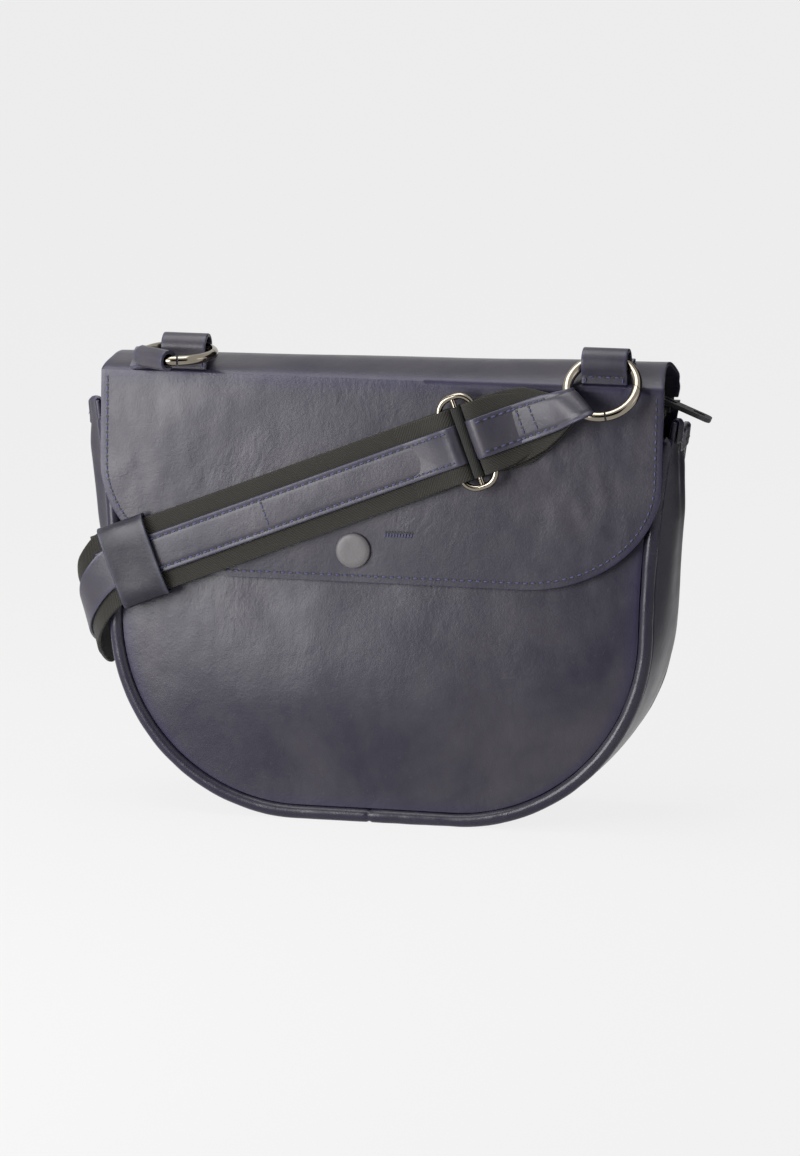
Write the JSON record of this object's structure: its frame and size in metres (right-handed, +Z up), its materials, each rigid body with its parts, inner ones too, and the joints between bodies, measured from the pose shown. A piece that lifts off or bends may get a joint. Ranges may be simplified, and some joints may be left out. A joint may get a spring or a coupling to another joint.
{
  "type": "saddle handbag",
  "caption": "D-shaped leather shoulder bag with a snap flap, zip mouth, spring-gate rings and a webbing strap with a slide and keeper.",
  "frame": {"origin": "centre of the flat patch of the base that the bag stands on", "axes": "+X to the right seen from the front, -Y to the front, +Z up"},
  "size_m": [0.3207, 0.1073, 0.244],
  "materials": {
    "leather": "waxed navy leather",
    "welt_leather": "waxed navy leather, rolled",
    "strap_leather": "waxed navy leather, stitched",
    "webbing": "dark olive-black twill webbing",
    "gunmetal": "polished light gunmetal",
    "zip_tape": "woven tape",
    "zip_metal": "zip metal",
    "pull_rubber": "matt black",
    "lining_cloth": "plain cotton",
    "board": "board"
  },
  "bodies": {
    "bag": {"front_panel": "leather", "back_panel": "leather", "gusset_left": "leather", "gusset_right": "leather", "hem_left": "leather", "hem_right": "leather", "zip_facing_front": "leather", "zip_facing_back": "leather", "front_welt": "welt_leather", "back_welt": "welt_leather", "strap_tail_bend": "strap_leather", "strap_wrap": "webbing", "strap_back_run": "webbing", "strap_back_rise": "webbing", "strap_fold": "webbing", "snap_base": "gunmetal", "zip_tape_front": "zip_tape", "zip_tape_back": "zip_tape", "zip_teeth_front": "zip_metal", "zip_teeth_back": "zip_metal", "zip_stops": "zip_metal", "lining": "lining_cloth", "base_stiffener": "board"},
    "flap": {"flap_front": "leather", "top_yoke": "leather", "snap_button": "strap_leather", "snap_socket": "gunmetal", "tab_left": "strap_leather", "tab_right": "strap_leather", "strap_webbing": "webbing", "strap_overlay_left": "strap_leather", "strap_overlay_right": "strap_leather", "strap_return": "webbing", "strap_tail": "strap_leather"},
    "ring_right": {"ring_right": "gunmetal", "strap_end_right": "strap_leather"},
    "gate_right": {"gate_right": "gunmetal"},
    "ring_left": {"ring_left": "gunmetal", "strap_end_left": "strap_leather"},
    "gate_left": {"gate_left": "gunmetal"},
    "buckle": {"buckle": "gunmetal"},
    "keeper": {"keeper": "strap_leather"},
    "zip_slider": {"zip_slider": "zip_metal"},
    "zip_pull": {"zip_pull": "pull_rubber"}
  },
  "joints": [
    {"name": "flap_hinge", "type": "hinge", "parent": "bag", "child": "flap", "pos_m": [0, 0.02236, 0.212], "axis": [-1, 0, 0], "range_deg": [0, 105], "deforming": ["strap_wrap", "strap_tail_bend"]},
    {"name": "ring_right_swing", "type": "hinge", "parent": "flap", "child": "ring_right", "pos_m": [0.114, -0.021, 0.236], "axis": [-1, 0, 0], "range_deg": [0, 60]},
    {"name": "gate_right_hinge", "type": "hinge", "parent": "ring_right", "child": "gate_right", "pos_m": [0.11853, -0.04299, 0.21241], "axis": [0, -0.7314, 0.682], "range_deg": [0, 15], "stiffness_Nm_per_rad": 0.02},
    {"name": "ring_left_swing", "type": "hinge", "parent": "flap", "child": "ring_left", "pos_m": [-0.101, -0.021, 0.236], "axis": [-1, 0, 0], "range_deg": [0, 60]},
    {"name": "gate_left_hinge", "type": "hinge", "parent": "ring_left", "child": "gate_left", "pos_m": [-0.09647, -0.05317, 0.23375], "axis": [0, -0.0698, 0.9976], "range_deg": [0, 15], "stiffness_Nm_per_rad": 0.02},
    {"name": "buckle_slide", "type": "slide", "parent": "flap", "child": "buckle", "axis": [-0.9311, -0.026, -0.3639], "range_m": [0, 0.06]},
    {"name": "keeper_slide", "type": "slide", "parent": "flap", "child": "keeper", "axis": [0.9311, 0.026, 0.3639], "range_m": [0, 0.06]},
    {"name": "zip_slide", "type": "slide", "parent": "bag", "child": "zip_slider", "axis": [-1, 0, 0], "range_m": [0, 0.2]},
    {"name": "pull_swing", "type": "hinge", "parent": "zip_slider", "child": "zip_pull", "pos_m": [0.134, 0, 0.2168], "axis": [0, -1, 0], "range_deg": [0, 40]}
  ]
}
